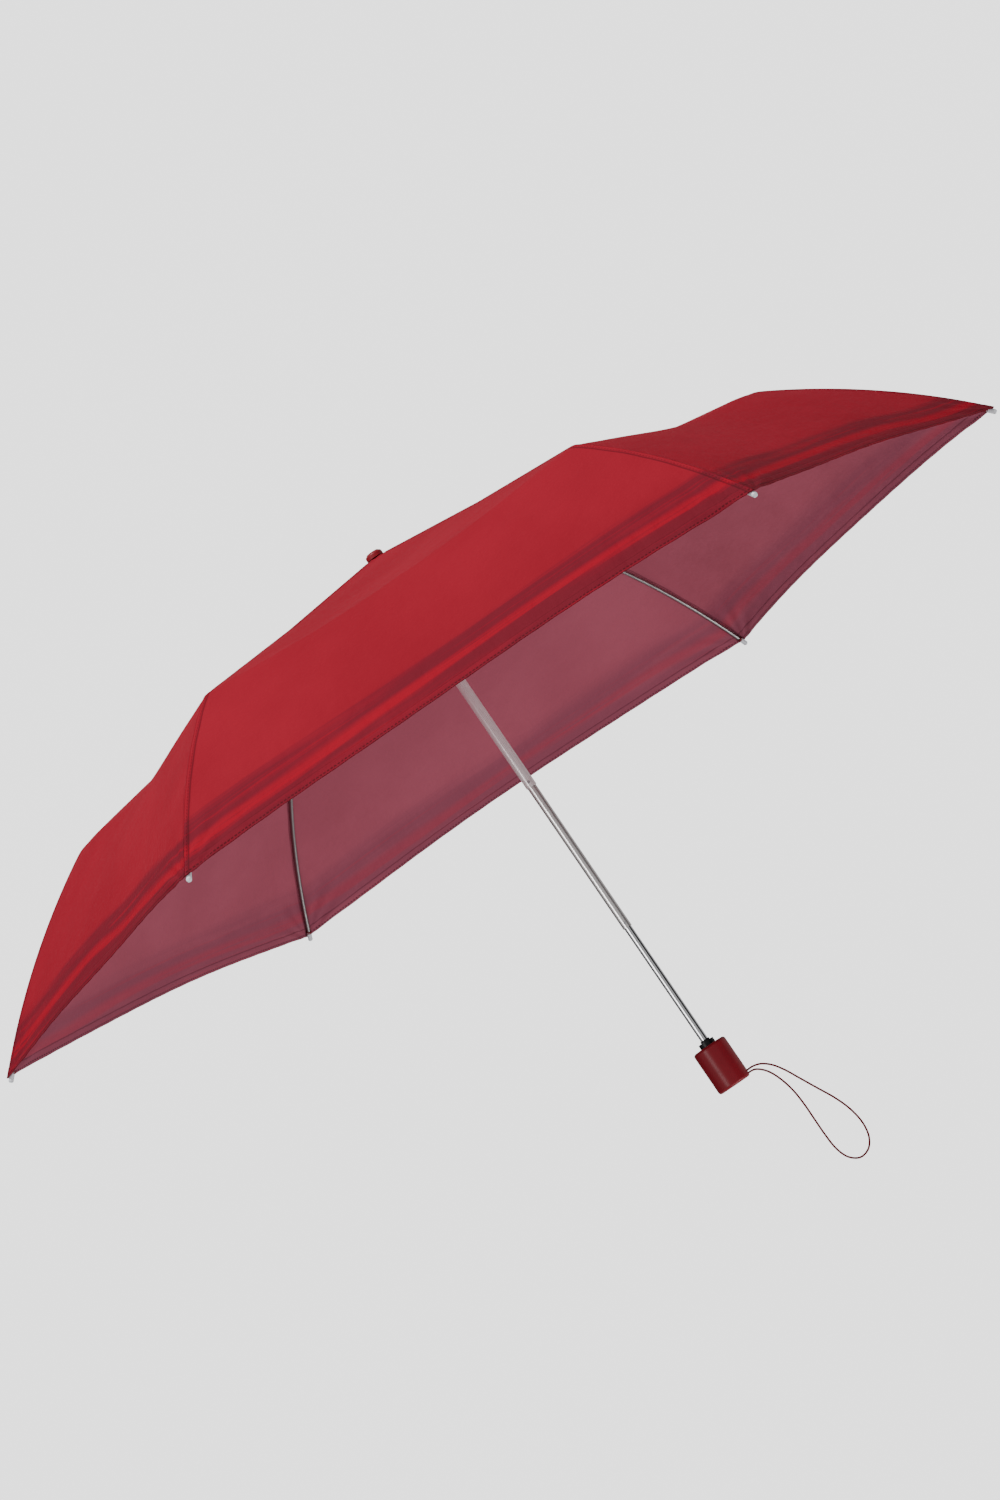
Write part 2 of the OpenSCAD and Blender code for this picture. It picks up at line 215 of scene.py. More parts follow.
# %% Cord route
CORD_D = 1.6 * MM
cx, cz = 14.7, -15.5        # the hole in the side of the handle, in millimetres
route = [(cx - 5, cz + 1.1), (cx - 1, cz + 1.1), (cx + 5, cz + 1.2), (cx + 12, cz - 1), (cx + 19, cz - 7),
         (cx + 25, cz - 16), (cx + 31, cz - 28), (cx + 38, cz - 42), (cx + 45, cz - 56), (cx + 50, cz - 70),
         (cx + 52, cz - 84), (cx + 50, cz - 96), (cx + 44, cz - 104), (cx + 35, cz - 106), (cx + 27, cz - 100),
         (cx + 23, cz - 89), (cx + 22, cz - 75), (cx + 22, cz - 60), (cx + 22, cz - 46), (cx + 21, cz - 33),
         (cx + 18, cz - 20), (cx + 13, cz - 9), (cx + 6, cz - 2.2), (cx - 1, cz - 1.1), (cx - 5, cz - 1.1)]
route = np.array([(x, 0, z) for x, z in route]) * MM


def smooth_line(points, each):
    """Points along a curve that passes through the given ones (Catmull-Rom)."""
    made = []
    last = len(points) - 1
    for i in range(last):
        p, q, r, s = (points[max(0, min(last, i + d))] for d in (-1, 0, 1, 2))
        for t in np.arange(each) / each:
            made.append(0.5 * ((2 * q) + (r - p) * t + (2 * p - 5 * q + 4 * r - s) * t * t
                               + (3 * q - p - 3 * r + s) * t ** 3))
    return np.array(made + [points[-1]])


cord_line = smooth_line(route, 12)
cord_along = np.concatenate([[0], np.cumsum(np.linalg.norm(np.diff(cord_line, axis=0), axis=1))])
print("cord length", round(float(cord_along[-1]), 4))


def object_from(name, points, faces, uv=None, material=None, smooth=True):
    """A new object from a list of points and faces, with an optional UV place for each point."""
    mesh = bpy.data.meshes.new(name)
    mesh.from_pydata([tuple(p) for p in points], [], [tuple(f) for f in faces])
    if uv is not None:
        layer = mesh.uv_layers.new(name="Own")
        corner = np.zeros(len(mesh.loops), int)
        mesh.loops.foreach_get("vertex_index", corner)
        layer.data.foreach_set("uv", np.asarray(uv, float)[corner].ravel())
    if smooth:
        mesh.polygons.foreach_set("use_smooth", [True] * len(mesh.polygons))
    mesh.validate()
    o = bpy.data.objects.new(name, mesh)
    bpy.context.scene.collection.objects.link(o)
    for m in ([material] if material and not isinstance(material, (list, tuple)) else (material or [])):
        mesh.materials.append(m)
    return o


# %% [markdown]
# ## The cord as a tube
# A ring of points is carried along the route, and rings in a row are joined by faces. The last point of a ring
# lies on the first, so that the pattern can run all the way round, and the two are welded afterwards. The plait
# is two sets of slanting waves, one each way round, of which the higher one shows. Its colour is painted shade:
# darker where the plait is low, between the strands, and lighter on their crowns.

# %% Cord tube
SIDES = 16
ring_points, ring_uv = [], []
for i, p in enumerate(cord_line):
    ahead = cord_line[min(i + 1, len(cord_line) - 1)] - cord_line[max(i - 1, 0)]
    ahead /= np.linalg.norm(ahead)
    side = np.array([0.0, 1.0, 0.0])
    across = np.cross(ahead, side)
    for j in range(SIDES + 1):
        a = 2 * math.pi * j / SIDES
        ring_points.append(p + CORD_D / 2 * (math.cos(a) * side + math.sin(a) * across))
        ring_uv.append((cord_along[i], j / SIDES))
n_rings, w = len(cord_line), SIDES + 1
cord_faces = [(i * w + j, (i + 1) * w + j, (i + 1) * w + j + 1, i * w + j + 1)
              for i in range(n_rings - 1) for j in range(SIDES)]
wrist_loop = object_from("wrist_loop", ring_points, cord_faces, ring_uv)


def weld_and_close(o, distance=1e-6):
    """Joins points that lie on each other, closes open ends and turns the faces outwards."""
    bm = bmesh.new()
    bm.from_mesh(o.data)
    bmesh.ops.remove_doubles(bm, verts=bm.verts, dist=distance)
    bmesh.ops.holes_fill(bm, edges=[e for e in bm.edges if len(e.link_faces) == 1], sides=0)
    bmesh.ops.recalc_face_normals(bm, faces=bm.faces)
    bm.to_mesh(o.data)
    bm.free()


weld_and_close(wrist_loop)

braid = Finish("braided_cord")
bu, bv, _ = braid.parts(braid.node("ShaderNodeUVMap", {"uv_map": "Own"}))
turns = bu * 520.0
twist_a = ((turns + bv * 4.0) * (2 * math.pi)).sine()
twist_b = ((turns - bv * 4.0) * (2 * math.pi)).sine()
plait_height_and_shade = twist_a.most(twist_b) * 0.5 + 0.5
# painted shade: the colour goes darker where the plait is low between the strands and lighter on their crowns
braid.set(Base_Color=braid.mix(plait_height_and_shade, (0.105, 0.004, 0.008), (0.170, 0.007, 0.013)), Roughness=0.62,
          Specular_IOR_Level=0.2)
braid.bump(plait_height_and_shade, 0.00010)
wrist_loop.data.materials.append(braid.material)
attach(wrist_loop, "handle")
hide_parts("wrist_cord")
print("cord rings", n_rings)

# %% [markdown]
# ## The profile of the cloth over a rib
# Seen from the side, the cloth runs down the inner rib, on down the middle rib and then over the bowed outer
# rib. That profile is one line of points. It is smoothed a little, so the cloth rounds the elbow as cloth does.

# %% Profile line
SECTIONS = ("inner", "middle", "outer")


def on_rib(start, slope, along):
    return (start[0] + along * math.cos(slope) + LIFT * math.sin(slope),
            start[1] - along * math.sin(slope) + LIFT * math.cos(slope))


raw = [on_rib((PIVOT_R, PIVOT_Z), SLOPE_IN, a) for a in np.linspace(-9 * MM, LEN_IN - 1 * MM, 120)]
cut_knee = len(raw)
raw += [on_rib(knee, SLOPE_MID, a) for a in np.linspace(0, LEN_MID, 110)]
cut_elbow = len(raw)
raw += [outer_rib_point(u, LIFT) for u in np.linspace(0.012, 0.985, 150)]
profile = np.array(raw)
along = np.concatenate([[0], np.cumsum(np.linalg.norm(np.diff(profile, axis=0), axis=1))])
knee_at, elbow_at, hem_at = float(along[cut_knee]), float(along[cut_elbow - 1]), float(along[-1])
even = np.linspace(0, hem_at, 1200)
line = np.stack([np.interp(even, along, profile[:, c]) for c in (0, 1)], axis=1)
spread = int(6 * MM / (even[1] - even[0]))
kernel = np.hanning(2 * spread + 3)[1:-1]
kernel /= kernel.sum()
padded_line = np.concatenate([2 * line[0] - line[spread:0:-1], line, 2 * line[-1] - line[-2:-spread - 2:-1]])
line = np.stack([np.convolve(padded_line[:, c], kernel, "valid") for c in (0, 1)], axis=1)
slope = np.gradient(line, even, axis=0)
slope /= np.linalg.norm(slope, axis=1)[:, None]
out_of = np.stack([-slope[:, 1], slope[:, 0]], axis=1)
print("cloth along a rib", round(hem_at, 4), "knee at", round(knee_at, 4), "elbow at", round(elbow_at, 4))

# %% [markdown]
# ## The panels
# Six panels are sewn together along the ribs. Between two ribs a panel is nearly straight across, dips a little
# at the elbows, and its hem curves in towards the shaft. Near each tip the cloth is gathered, and along the hem
# it puckers where the thread pulls. All of that is one function of a place on the panel, so pieces that meet
# agree exactly where they meet.

# %% Panel surface


def panel_points(panel, s, v, side):
    """Points of one face of the cloth. s is the way down from the crown in metres, v runs -1..1 across the panel,
    side is 1 for the outer face and -1 for the inner one."""
    x, z = np.interp(s, even, line[:, 0]), np.interp(s, even, line[:, 1])
    nx, nz = np.interp(s, even, out_of[:, 0]), np.interp(s, even, out_of[:, 1])
    length = np.hypot(nx, nz)
    nx, nz = nx / length, nz / length
    middle = 1 - v * v
    down = np.clip((s - elbow_at) / (hem_at - elbow_at), 0, 1)
    valley = VALLEY * np.interp(s, [0, 20 * MM, knee_at, elbow_at, hem_at], [0, 0.05, 0.55, 1, 0])
    dip = valley * middle * middle
    half = x * math.sin(math.radians(30))
    from_hem, from_rib = hem_at - s, half * (1 - np.abs(v))
    # gathers that spread from the nearer tip, in step with the angle about it
    turn = np.arctan2(from_rib, from_hem + 4 * MM)
    tip_way = np.hypot(from_rib, from_hem)
    gather = 0.55 * MM * np.sin(turn * 13 + 0.8 * np.sign(v) + panel) * np.exp(-((tip_way - 24 * MM) / (30 * MM)) ** 2)
    gather = gather * np.clip(tip_way / (16 * MM), 0, 1) * np.clip(from_rib / (6 * MM), 0, 1)
    pucker = 0.16 * MM * np.sin(half * v / (4.6 * MM) + panel) * np.exp(-from_hem / (13 * MM))
    pucker = pucker * np.clip(from_rib / (10 * MM), 0, 1)
    drawn = 0.30 * MM * np.sin(s / (6.5 * MM) + panel) * np.exp(-from_rib / (9 * MM))
    drawn = drawn * np.clip(from_rib / (3 * MM), 0, 1)
    slack = 0.8 * MM * np.sin(v * 5.0 + s * 22 + 1.7 * panel) * np.clip(from_rib / (40 * MM), 0, 1)
    slack = slack * np.clip(s / 0.1, 0, 1)
    hem_fold = 0.20 * MM * np.clip((8.8 * MM - from_hem) / (0.5 * MM), 0, 1)
    seam = 0.42 * MM * np.clip((3.2 * MM - from_rib) / (0.9 * MM), 0, 1) * (s > 12 * MM)
    thick = 0.16 * MM + (hem_fold + seam if side > 0 else hem_fold)
    rise = gather + pucker + drawn + slack - dip + side * thick
    curve = SCALLOP * middle * down ** 1.6
    rad = x * math.cos(math.radians(30)) - curve + rise * nx
    up = z + 0.6 * curve + rise * nz
    tan = half * v
    a = math.radians(30 + 60 * panel)
    return np.stack([rad * math.cos(a) - tan * math.sin(a), rad * math.sin(a) + tan * math.cos(a), up], axis=-1)


# %% [markdown]
# ## Cutting the cloth into pieces that can fold
# The frame folds at the knee and the elbow of every rib. Each panel is therefore made in halves, from a rib to
# the middle of the panel, and each half in three lengths. Every piece rides on its own part of the rib. The two
# halves of a panel meet only while the umbrella is open: folded, they stand apart, which real cloth would not do.

# %% Cloth pieces
ROWS = {"inner": 34, "middle": 40, "outer": 96}
ACROSS = 40
SPANS = {"inner": (9.5 * MM, knee_at), "middle": (knee_at, elbow_at), "outer": (elbow_at, hem_at)}
BODY = {"inner": "inner_arm_", "middle": "middle_arm_", "outer": "outer_arm_"}
MID_SHIFT = 3.2 * MM        # a middle rib lies beside the inner one


def flat_cut(low, high):
    """Width, length and area of half a panel between two places down the rib, laid flat on the cutting table."""
    s = np.linspace(low, high, 400)
    x, z = np.interp(s, even, line[:, 0]), np.interp(s, even, line[:, 1])
    down = np.hypot(np.diff(x) * math.cos(math.radians(30)), np.diff(z))
    area = float((down * (x[:-1] + x[1:]) / 4).sum())
    if high >= hem_at:
        area -= SCALLOP * 2 / 3 * x[-1] / 2
    return float(x[-1] / 2), float(down.sum()), area


def cloth_sheet(name, panel, ss, vs, materials):
    """A closed thin sheet over the grid of ss (down) and vs (across), with its UV place in metres."""
    S, V = np.meshgrid(ss, vs, indexing="ij")
    rows, cols = S.shape
    outer, inner = panel_points(panel, S, V, 1).reshape(-1, 3), panel_points(panel, S, V, -1).reshape(-1, 3)
    half = np.interp(S, even, line[:, 0]) * 0.5
    to_rib = (half * (1 - np.abs(V))).ravel()
    uv = np.stack([(half * V).ravel() + panel, (hem_at - S).ravel()], axis=1)
    n = rows * cols
    quads = [(i * cols + j, (i + 1) * cols + j, (i + 1) * cols + j + 1, i * cols + j + 1)
             for i in range(rows - 1) for j in range(cols - 1)]
    edge = [i * cols for i in range(rows)] + [(rows - 1) * cols + j for j in range(1, cols)]
    edge += [i * cols + cols - 1 for i in range(rows - 2, -1, -1)] + [j for j in range(cols - 2, 0, -1)]
    rim = [(a, a + n, b + n, b) for a, b in zip(edge, edge[1:] + edge[:1])]
    faces = quads + [tuple(n + k for k in q[::-1]) for q in quads] + rim
    o = object_from(name, np.concatenate([outer, inner]), faces, np.concatenate([uv, uv]), materials)
    way = o.data.attributes.new("from_rib", "FLOAT", "POINT")
    way.data.foreach_set("value", np.concatenate([to_rib, to_rib]))
    slots = [0] * len(quads) + [1] * len(quads) + [0] * len(rim)
    o.data.polygons.foreach_set("material_index", slots)
    sharp = [False] * len(o.data.edges)
    rim_edges = {frozenset(p) for a, b in zip(edge, edge[1:] + edge[:1]) for p in ((a, b), (a + n, b + n))}
    for e in o.data.edges:
        sharp[e.index] = frozenset(e.vertices) in rim_edges
    o.data.attributes.new("sharp_edge", "BOOLEAN", "EDGE").data.foreach_set("value", sharp)
    p = np.concatenate([outer, inner])
    first, second, third = (p[i] for i in quads[0][:3])
    if np.dot(np.cross(second - first, third - first), outer[0] - inner[0]) < 0:
        o.data.flip_normals()
    return o


# %% [markdown]
# ## The cloth's two faces
# It is a thin plain weave. Outside it is a strong red with a border along each hem, like three strokes of a
# broad brush: dull wine red, a bright streak and wine red again, with a line of stitches at the edge. Inside the
# same dye is seen through the back of the weave and a coating, so it is a greyed pink, made lighter as painted light
# for the light that comes through the cloth, with the border painted in as the shadow it casts through the weave.
# Along each rib a darker line is painted shade at the fold of the seam. The UV place holds the way along the hem
# and the way up from it, in metres, so the pattern keeps to the hem wherever the cloth goes.

# %% Cloth finishes
BORDER_TOP, STITCH_AT, HEM_EDGE_AT = 0.046, 0.0024, 0.0088     # heights above the hem
SEAM_AT, SEAM_STITCH_AT = 0.0034, 0.0019                       # ways from the rib


def cloth_finish(name, ground, shade, wine, bright, thread, inside):
    """One face of the cloth: its ground, its brushed border and its stitches."""
    f = Finish(name)
    uv = f.node("ShaderNodeUVMap", {"uv_map": "Own"})
    u, v, _ = f.parts(uv)
    from_rib = f.node("ShaderNodeAttribute", {"attribute_name": "from_rib"}, out=2)
    # brush strokes run along the hem: noise that is long that way and short across
    broad = f.noise(f.stretched(uv, (2.6, 5.0, 1.0)), 1.0, 2.0)
    hairs = f.noise(f.stretched(uv, (4.5, 330.0, 1.0)), 1.0, 4.0, 0.65)
    strokes = f.noise(f.stretched(uv, (5.5, 62.0, 1.0)), 1.0, 3.0, 0.55)
    height = v + (broad - 0.5) * 0.052 + (hairs - 0.5) * 0.005
    edge = 0.014 if inside else 0.005
    band = 1 - (height + (hairs - 0.5) * 0.010).step(BORDER_TOP - edge, BORDER_TOP + edge)
    dull = band * (strokes.step(0.30, 0.52) * 0.50 + 0.50)
    glow = height.step(0.013, 0.017) * (1 - height.step(0.021, 0.029)) * hairs.step(0.30, 0.50)
    glow = glow.most(height.step(0.031, 0.034) * (1 - height.step(0.036, 0.041)) * hairs.step(0.50, 0.62) * 0.6)
    glow = glow.most((1 - v.step(0.009, 0.012)) * hairs.step(0.54, 0.66) * 0.5)
    mottled = f.noise(f.stretched(uv, (9.0, 9.0, 1.0)), 1.0, 3.0)
    colour = f.mix(mottled.step(0.35, 0.65), ground, shade)
    # outside these are the printed border and its bright streak; inside they are painted shade and light, the print
    # seen through the cloth
    colour = f.mix(dull * (0.62 if inside else 0.85), colour, wine)
    colour = f.mix(glow * (0.5 if inside else 0.8), colour, bright)
    # the row of stitches, the edge of the turned hem, and painted shade in a line along the fold of cloth at each rib
    along_hem = (u * 330.0).fraction()
    dash = along_hem.step(0.18, 0.30) * (1 - along_hem.step(0.78, 0.90))
    stitch = dash * (1 - (v - STITCH_AT).size().step(0.0004, 0.0009))
    hem_edge = 1 - (v - HEM_EDGE_AT).size().step(0.0002, 0.0009)
    # painted shade: a darker line in the thread's colour where the cloth folds over the seam beside each rib
    seam_fold_shade = 1 - (from_rib - SEAM_AT).size().step(0.0003, 0.0011)
    rib_row = (v * 300.0).fraction()
    on_row = 1 - (from_rib - SEAM_STITCH_AT).size().step(0.0002, 0.00045)
    rib_stitch = rib_row.step(0.2, 0.32) * (1 - rib_row.step(0.72, 0.84)) * on_row
    colour = f.mix((stitch * 0.85).most(rib_stitch * 0.5), colour, thread)
    colour = f.mix((hem_edge * (0.5 if inside else 0.25)).most(seam_fold_shade * (0.55 if inside else 0.60)), colour, thread)
    weave = ((u * 9000.0).sine() * 0.5 + 0.5) * ((v * 9000.0).sine() * 0.5 + 0.5)
    crumple = f.noise(f.stretched(uv, (24.0, 24.0, 1.0)), 1.0, 4.0, 0.55)
    f.set(Base_Color=colour, Roughness=crumple * 0.1 + 0.68, Specular_IOR_Level=0.05,
          Sheen_Weight=0.03, Sheen_Roughness=0.4, Sheen_Tint=(1.0, 0.08, 0.10, 1))
    near_hem = 1 - v.step(0.015, 0.110)
    creases = f.noise(f.stretched(uv, (55.0, 16.0, 1.0)), 1.0, 3.0, 0.5)
    f.bump(weave * 0.03 + crumple * 1.6 + creases * near_hem * 1.5 + stitch * 0.15 + rib_stitch * 0.12
           - hem_edge * 0.08, 0.0016, 0.8)
    return f.material


outside = cloth_finish("cloth_outside", (0.262, 0.0086, 0.0205), (0.240, 0.0078, 0.0185), (0.126, 0.0095, 0.019),
                       (0.325, 0.0035, 0.016), (0.060, 0.006, 0.010), False)
# inside: a greyed pink, lightened as painted light for the light coming through the cloth, with the border's shadow
# painted in
inside = cloth_finish("cloth_inside", (0.385, 0.090, 0.130), (0.350, 0.080, 0.116), (0.215, 0.058, 0.093),
                      (0.410, 0.048, 0.080), (0.10, 0.022, 0.036), True)
print("cloth finishes", outside.name, inside.name)

# %% [markdown]
# ## Sewing the canopy
# Twelve halves of three lengths make the canopy. Rows of points lie closer together near the ribs and towards the
# hem, where the folds are small. Each piece rides on its own part of the rib, and the area of cloth it was cut from
# is added up. That size is summed along the profile line, not taken from the finished mesh, but the mesh follows
# the same line.

# %% Make the cloth
v_steps = 1 - (np.linspace(0, 1, ACROSS + 1) ** 1.55)      # from the rib (1) to the middle of the panel (0)
BEFORE_HEM = [0.105, 0.09, 0.076, 0.064, 0.054, 0.0475, 0.0455, 0.040, 0.034, 0.028, 0.022, 0.016, 0.010, 0.005, 0]
OUTER_ROWS = np.sort(np.concatenate([np.linspace(0, 0.88, 70), 1 - np.array(BEFORE_HEM)]))
START = {"inner": (PIVOT_R, PIVOT_Z), "middle": knee, "outer": outer_pin}
cut_area = 0.0
for k in range(6):
    for hand in (1, -1):
        # the half on the +turn side of rib k belongs to panel k, the other to the panel before it
        panel = k if hand > 0 else (k - 1) % 6
        vs = -v_steps if hand > 0 else v_steps
        for section in SECTIONS:
            low, high = SPANS[section]
            ss = np.linspace(low, high, ROWS[section] + 1)
            if section == "outer":
                ss = low + (high - low) * OUTER_ROWS
            name = f"cloth_{section}_{k}_{'a' if hand > 0 else 'b'}"
            piece = cloth_sheet(name, panel, ss, vs, [outside, inside])
            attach(piece, f"{BODY[section]}{k}")
            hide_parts("canopy")
            # the rib's way out, its way round, and where the piece starts on the rib; nothing below uses them
            a = math.radians(60 * k)
            away_rib, turnwise = Vector((math.cos(a), math.sin(a), 0)), Vector((-math.sin(a), math.cos(a), 0))
            anchor = away_rib * START[section][0] + Vector((0, 0, START[section][1]))
            if section == "middle":
                anchor += turnwise * MID_SHIFT
            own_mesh(piece)
            wide, tall, cut = flat_cut(low, high)
            cut_area += cut
print("cloth cut, laid flat", round(cut_area, 4))

# %% [markdown]
# ## The crown
# Round the cap the six panels are so narrow that they are one small sheet, which stays on the shaft while the
# ribs fold. It is made ring by ring from the same panel function, so it meets the inner lengths without a gap.

# %% Crown


def crown_cloth():
    """The six panel corners round the finial, as one closed sheet."""
    rings, seg = 7, 16
    ss = np.linspace(0.5 * MM, 10.5 * MM, rings)
    points, uvs = {1: [], -1: []}, []
    for s in ss:
        for panel in range(6):
            for j in range(seg):
                v = -1 + 2 * j / seg
                for side in (1, -1):
                    points[side].append(panel_points(panel, np.array(s), np.array(v), side))
                uvs.append((float(np.interp(s, even, line[:, 0])) * 0.5 * v + panel, hem_at - s))
    n, around = len(points[1]), 6 * seg
    faces, kinds = [], []
    for i in range(rings - 1):
        for j in range(around):
            after = (j + 1) % around
            q = (i * around + j, (i + 1) * around + j, (i + 1) * around + after, i * around + after)
            faces += [q, tuple(n + k for k in q[::-1])]
            kinds += [0, 1]
    for i in (0, rings - 1):
        for j in range(around):
            a, b = i * around + j, i * around + (j + 1) % around
            faces.append((a, b, b + n, a + n))
            kinds.append(0)
    o = object_from("cloth_crown", points[1] + points[-1], faces, uvs + uvs, [outside, inside])
    o.data.attributes.new("from_rib", "FLOAT", "POINT").data.foreach_set("value", [0.02] * (2 * n))
    o.data.polygons.foreach_set("material_index", kinds)
    weld_and_close(o)
    return o


crown = crown_cloth()
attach(crown, "upper_section")
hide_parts("canopy")
print("crown points", len(crown.data.vertices))

# %% [markdown]
# ## Thread ties
# The cloth is held to the frame by short lashings of dark red thread, a few turns round the outer rib near the
# elbow and at each tip. One ring of thread is made from a torus, four of them make a lashing, and a small knot
# closes it. Each copy has its own mesh, so that each can ride on its own rib.

# %% Thread ties


def nothing_selected():
    bpy.ops.object.select_all(action="DESELECT")


def settle(o):
    """Puts the object's place into its mesh, so the object itself sits at the origin."""
    o.data.transform(o.matrix_world)
    o.matrix_world = Matrix.Identity(4)
    return o


def lashing(name, radius, thread=0.33 * MM, turns=4):
    """Turns of thread round an axis along X, with a knot on top."""
    nothing_selected()
    made = []
    for i in range(turns):
        bpy.ops.mesh.primitive_torus_add(major_segments=28, minor_segments=8, major_radius=radius,
                                         minor_radius=thread, location=((i - (turns - 1) / 2) * thread * 1.9, 0, 0),
                                         rotation=(math.radians(4 * (-1) ** i), math.radians(90), 0))
        made.append(bpy.context.object)
    bpy.ops.mesh.primitive_ico_sphere_add(subdivisions=2, radius=thread * 2.1, location=(0, 0, -radius))
    made.append(bpy.context.object)
    for o in made:
        o.select_set(True)
    bpy.context.view_layer.objects.active = made[0]
    bpy.ops.object.join()
    tie = bpy.context.object
    tie.name = name
    bpy.ops.object.shade_smooth()
    return settle(tie)


thread_finish = Finish("tie_thread")
spun = thread_finish.noise(thread_finish.object_place(), 2600.0, 3.0)
thread_finish.set(Base_Color=thread_finish.mix(spun.step(0.35, 0.65), srgb(88, 12, 22), srgb(134, 24, 36)),
                  Roughness=0.75)
thread_finish.bump(spun, 0.0001)

tie_master = lashing("tie_master", 1.95 * MM)
tie_master.data.materials.append(thread_finish.material)


def place_tie(name, body, k, at, slope_angle):
    """A copy of the lashing at a point of rib k's own plane, turned to the rib's slope."""
    o = bpy.data.objects.new(name, tie_master.data.copy())
    bpy.context.scene.collection.objects.link(o)
    o.matrix_world = (Matrix.Rotation(math.radians(60 * k), 4, "Z") @ Matrix.Translation((at[0], 0.0, at[1]))
                      @ Matrix.Rotation(slope_angle, 4, "Y"))
    settle(o)
    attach(o, body)


for k in range(6):
    for label, u in (("high", 0.12), ("tip", 0.955)):
        b = math.pi / 2 + BOW_A - 2 * BOW_A * u
        place_tie(f"tie_{label}_{k}", f"outer_arm_{k}", k, outer_rib_point(u), SLOPE_OUT - (b - math.pi / 2))
bpy.data.objects.remove(tie_master)

# %% [markdown]
# ## Finishes for the frame
# The CAD pieces keep their shape. A surface is more than one colour, though: drawn tube has fine lines along it,
# stamped ribs are duller in patches, and moulded plastic has a faint grain. Each finish below starts from
# where the point is on the object, in metres, so that the detail has its real size.

# %% Metals


def metal(name, tint, rough, along_z=True, streak=0.12, tarnish=0.15, metallic=1.0):
    """Drawn or stamped metal, its fine lines along Z for a tube."""
    f = Finish(name)
    where = f.object_place()
    drawn = f.noise(f.stretched(where, (900.0, 900.0, 6.0) if along_z else (900.0, 900.0, 900.0)), 1.0, 3.0, 0.6)
    patches = f.noise(where, 42.0, 4.0, 0.55)
    dull = tuple(c * (1 - tarnish) for c in tint)
    f.set(Base_Color=f.mix(patches.step(0.35, 0.7), tint, dull), Metallic=metallic,
          Roughness=(drawn - 0.5) * streak + (patches - 0.5) * 0.06 + rough)
    f.bump(patches, 0.0001)
    return f.material


tube_lower = metal("polished_tube", (0.84, 0.84, 0.86), 0.11, streak=0.04, tarnish=0.06)
tube_middle = metal("nickel_tube", (0.86, 0.84, 0.83), 0.24, streak=0.10, tarnish=0.06, metallic=0.8)
# a satin finish, made whiter, faintly pink and less metallic than the others as painted light and painted reflection
# of the red cloth above it
tube_upper = metal("satin_tube", (0.97, 0.94, 0.94), 0.28, streak=0.10, tarnish=0.02, metallic=0.4)
rib_metal = metal("coated_rib", (0.34, 0.315, 0.315), 0.40, along_z=False, streak=0.08)
wire_metal = metal("bright_pin", srgb(210, 210, 214), 0.25, along_z=False)
print("metals", [m.name for m in (tube_lower, tube_middle, tube_upper, rib_metal, wire_metal)])

# %% [markdown]
# ## Plastics, and which piece gets which finish
# The handle, its collar, the runner, the notch, the cap and the tip caps are moulded. Then one list pairs the
# start of a piece's name with its finish, so that a finish is said once for all six ribs.

# %% Plastics


def plastic(name, colour, darker, rough, depth=0.00005):
    """Moulded plastic, a little darker and duller where hands have worn it."""
    f = Finish(name)
    where = f.object_place()
    fine = f.noise(where, 1800.0, 2.0)
    worn = f.noise(where, 60.0, 3.0, 0.5)
    f.set(Base_Color=f.mix(worn.step(0.3, 0.75), colour, darker),
          Roughness=(worn - 0.5) * 0.10 + (fine - 0.5) * 0.02 + rough,
          Specular_IOR_Level=0.3)
    f.bump(worn, depth)
    return f.material


grip_red = plastic("soft_touch_red", (0.235, 0.0085, 0.017), (0.205, 0.007, 0.0145), 0.34)
moulded_black = plastic("moulded_black", srgb(26, 26, 28), srgb(34, 34, 37), 0.38)
tip_white = plastic("tip_paint", srgb(226, 228, 232), srgb(208, 210, 216), 0.28)
cap_red = plastic("cap_red", srgb(140, 22, 34), srgb(120, 18, 30), 0.42)

FINISHES = [("handle_shell", grip_red), ("collar", moulded_black), ("handle_pin", wire_metal),
            ("cord_plug", moulded_black), ("lower_tube", tube_lower), ("middle_tube", tube_middle),
            ("middle_detent", wire_metal), ("upper_tube", tube_upper), ("upper_detent", wire_metal),
            ("top_notch", moulded_black), ("runner_wire", wire_metal), ("runner", moulded_black),
            ("notch_wire", wire_metal), ("finial", cap_red), ("inner_rib", rib_metal), ("inner_pins", wire_metal),
            ("stretcher", rib_metal), ("middle_rib", rib_metal), ("outer_pin", wire_metal), ("outer_rib", rib_metal),
            ("tip_cap", tip_white)]
unfinished = []
for name, o in nodes.items():
    stem = name.rsplit("_", 1)[0] if name[-1].isdigit() else name
    found = [m for start, m in FINISHES if start == stem]
    if not found:
        unfinished.append(name)
        continue
    for place_in_mesh in o.material_slots:
        place_in_mesh.material = found[0]
    if not o.material_slots:
        o.data.materials.append(found[0])
print("nodes without a finish of their own:", unfinished)

# %% [markdown]
# ## Surroundings and light
# The umbrella hangs in a plain pale space: a floor that curves up into a wall all round, like a studio's
# paper sweep. Only the camera sees the paper, so that its glow does not wash out the colours. The light is a dim
# even room with large soft lamps above, in front and at the sides, which give the metal something to reflect.

# %% Surroundings


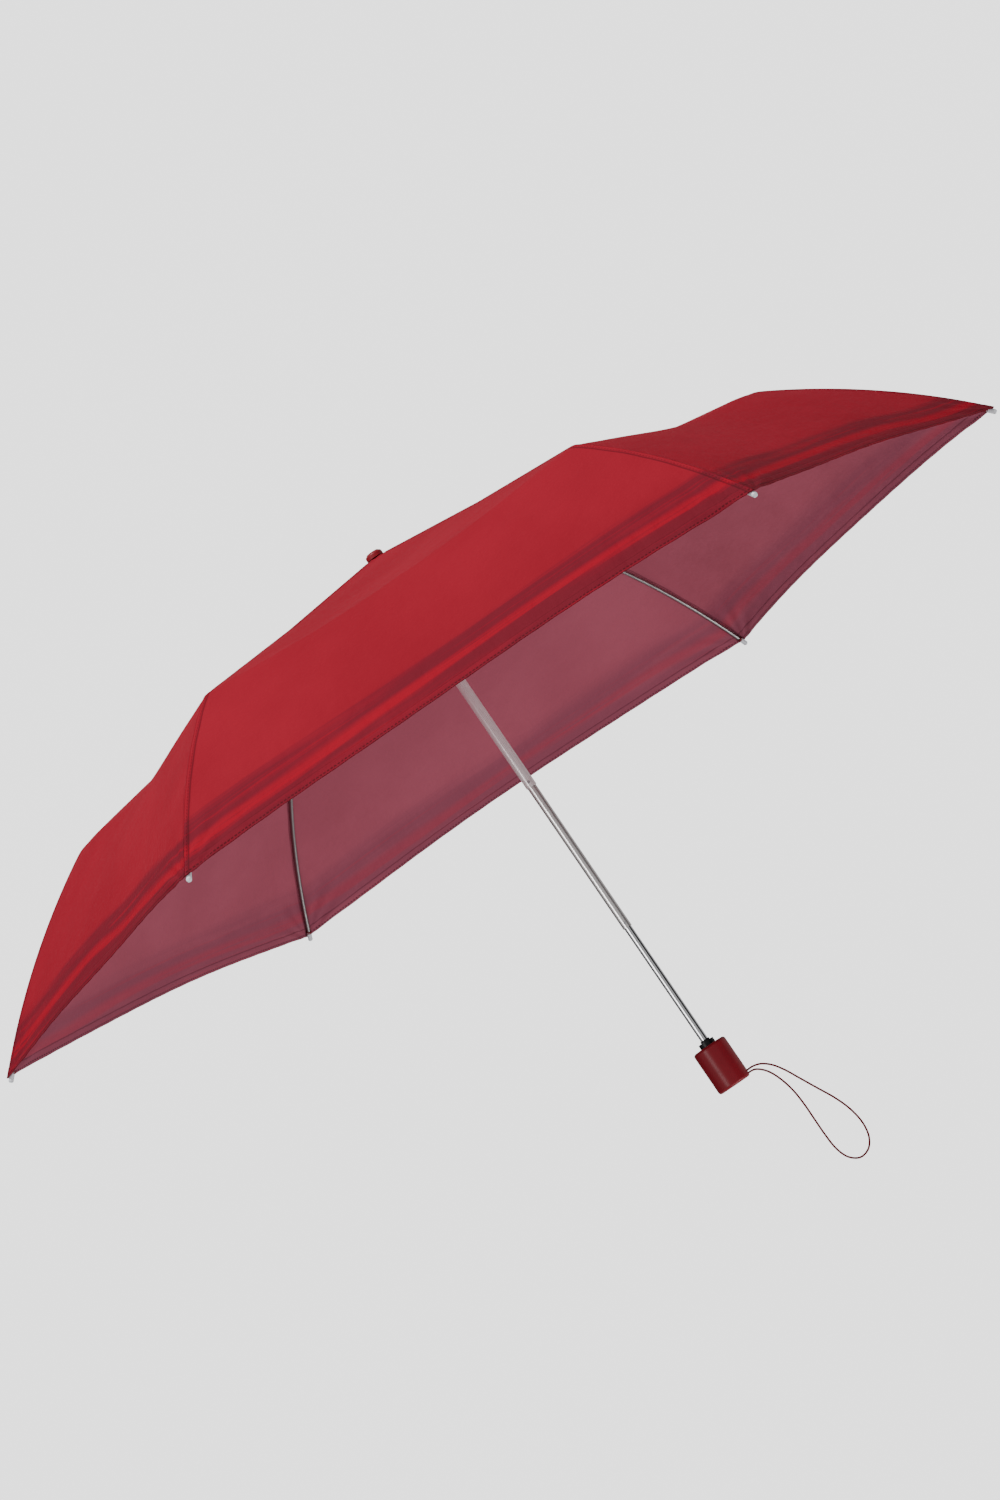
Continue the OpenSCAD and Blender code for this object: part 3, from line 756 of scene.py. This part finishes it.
def sweep():
    """A floor that curves up into a wall all round: a sphere whose bottom is pressed flat."""
    nothing_selected()
    bpy.ops.mesh.primitive_uv_sphere_add(segments=64, ring_count=32, radius=7.0, location=(0, 0, 0.3))
    o = bpy.context.object
    o.name = "paper_sweep"
    bpy.ops.object.shade_smooth()
    settle(o)
    for v in o.data.vertices:
        v.co.z = max(v.co.z, -1.2)
    paper = Finish("white_paper")
    tone = paper.noise(paper.object_place(), 0.6, 2.0)
    paper.set(Base_Color=(0.0, 0.0, 0.0), Roughness=1.0, Specular_IOR_Level=0.0,
              Emission_Color=paper.mix(tone, (0.97, 0.97, 0.97), (1.0, 1.0, 1.0)), Emission_Strength=2.3)
    o.data.materials.append(paper.material)
    o.visible_diffuse = o.visible_glossy = o.visible_transmission = o.visible_shadow = False


sweep()


def lamp(name, at, towards, size, power):
    """A round soft lamp, turned towards a place."""
    data = bpy.data.lights.new(name, "AREA")
    data.shape, data.size, data.energy = "DISK", size, power
    o = bpy.data.objects.new(name, data)
    bpy.context.scene.collection.objects.link(o)
    o.location = at
    o.rotation_euler = (Vector(towards) - Vector(at)).to_track_quat("-Z", "Y").to_euler()


middle = Vector((0, 0, 0.35))
lamp("key", middle + 2.2 * cam_up + 1.2 * away - 2.2 * cam_right, middle, 1.2, 132)
lamp("fill", middle + 1.2 * away + 2.8 * cam_right - 1.2 * cam_up, middle, 1.2, 29)
lamp("under", middle + 1.2 * away + 1.6 * cam_right - 2.2 * cam_up, middle, 1.6, 21)
lamp("streak", middle + 2.3 * away - 1.7 * cam_right - 0.9 * cam_up, middle, 1.0, 16)


def flag(name, turn, wide):
    """A tall dark card that only shiny things see, at an angle round the shaft from the camera's side."""
    nothing_selected()
    bpy.ops.mesh.primitive_plane_add(size=1.0, location=(2.4 * math.sin(turn), -2.4 * math.cos(turn), 0.2),
                                     rotation=(math.radians(90), 0, turn))
    o = bpy.context.object
    o.name = name
    o.scale = (wide, 3.2, 1.0)
    dark = Finish("black_card")
    dark.set(Base_Color=(0.01, 0.01, 0.01), Roughness=0.9)
    o.data.materials.append(dark.material)
    o.visible_camera = o.visible_diffuse = o.visible_shadow = False


flag("card_right", math.radians(66), 2.3)
flag("card_left", math.radians(-122), 3.0)
world = bpy.data.worlds.new("room")
bpy.context.scene.world = world
world.use_nodes = True
room = world.node_tree.nodes["Background"]
room.inputs["Color"].default_value, room.inputs["Strength"].default_value = (1, 1, 1, 1), 0.42
print("lamps", len(bpy.data.lights))
